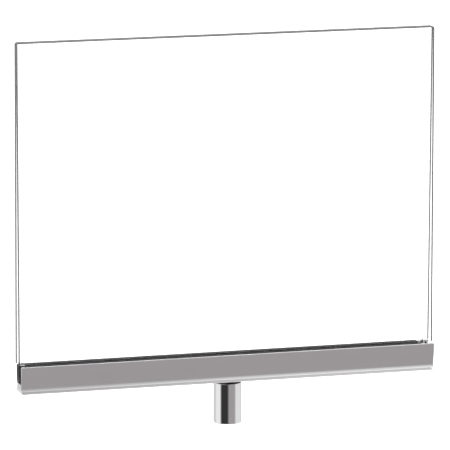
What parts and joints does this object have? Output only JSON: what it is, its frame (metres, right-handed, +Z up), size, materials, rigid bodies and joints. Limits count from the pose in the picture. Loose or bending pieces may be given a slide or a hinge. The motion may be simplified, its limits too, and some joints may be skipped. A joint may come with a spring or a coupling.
{
  "type": "sneeze guard",
  "caption": "Counter sneeze guard: clear upright leaves in a chrome channel that swivels on a short round post.",
  "frame": {"origin": "centre of the post's lower end, where the counter's stud enters", "axes": "+Z up along the post and the swivel's axis, +X along the channel, -Y towards the front of the guard"},
  "size_m": [0.3896, 0.0254, 0.3554],
  "materials": {
    "chrome_channel": "polished chrome plate",
    "chrome_post": "polished chrome plate",
    "clear_leaf": "clear polished sheet with polished edges",
    "black_liner": "matt black",
    "black_rail": "matt black extrusion",
    "black_screw": "black oxide",
    "black_washer": "black nylon",
    "plug_steel": "turned",
    "spring_steel": "plain spring steel",
    "screw_steel": "plain steel"
  },
  "bodies": {
    "post": {"stub_post": "chrome_post", "top_plug": "plug_steel", "bottom_plug": "plug_steel", "swivel_washer": "black_washer", "disc_spring": "spring_steel", "pivot_screw": "screw_steel"},
    "channel": {"base_channel": "chrome_channel", "channel_liner": "black_liner", "spacer_rail": "black_rail", "rail_screws": "black_screw"},
    "front_leaf_body": {"front_leaf": "clear_leaf"},
    "rear_leaf_body": {"rear_leaf": "clear_leaf"}
  },
  "joints": [
    {"name": "guard_swivel", "type": "hinge", "parent": "post", "child": "channel", "pos_m": [0, 0, 0.039], "axis": [0, 0, 1], "continuous": true},
    {"name": "front_leaf_lift", "type": "slide", "parent": "channel", "child": "front_leaf_body", "axis": [0, 0, 1], "range_m": [0, 0.04]},
    {"name": "rear_leaf_lift", "type": "slide", "parent": "channel", "child": "rear_leaf_body", "axis": [0, -0.0192, 0.9998], "range_m": [0, 0.04]}
  ]
}
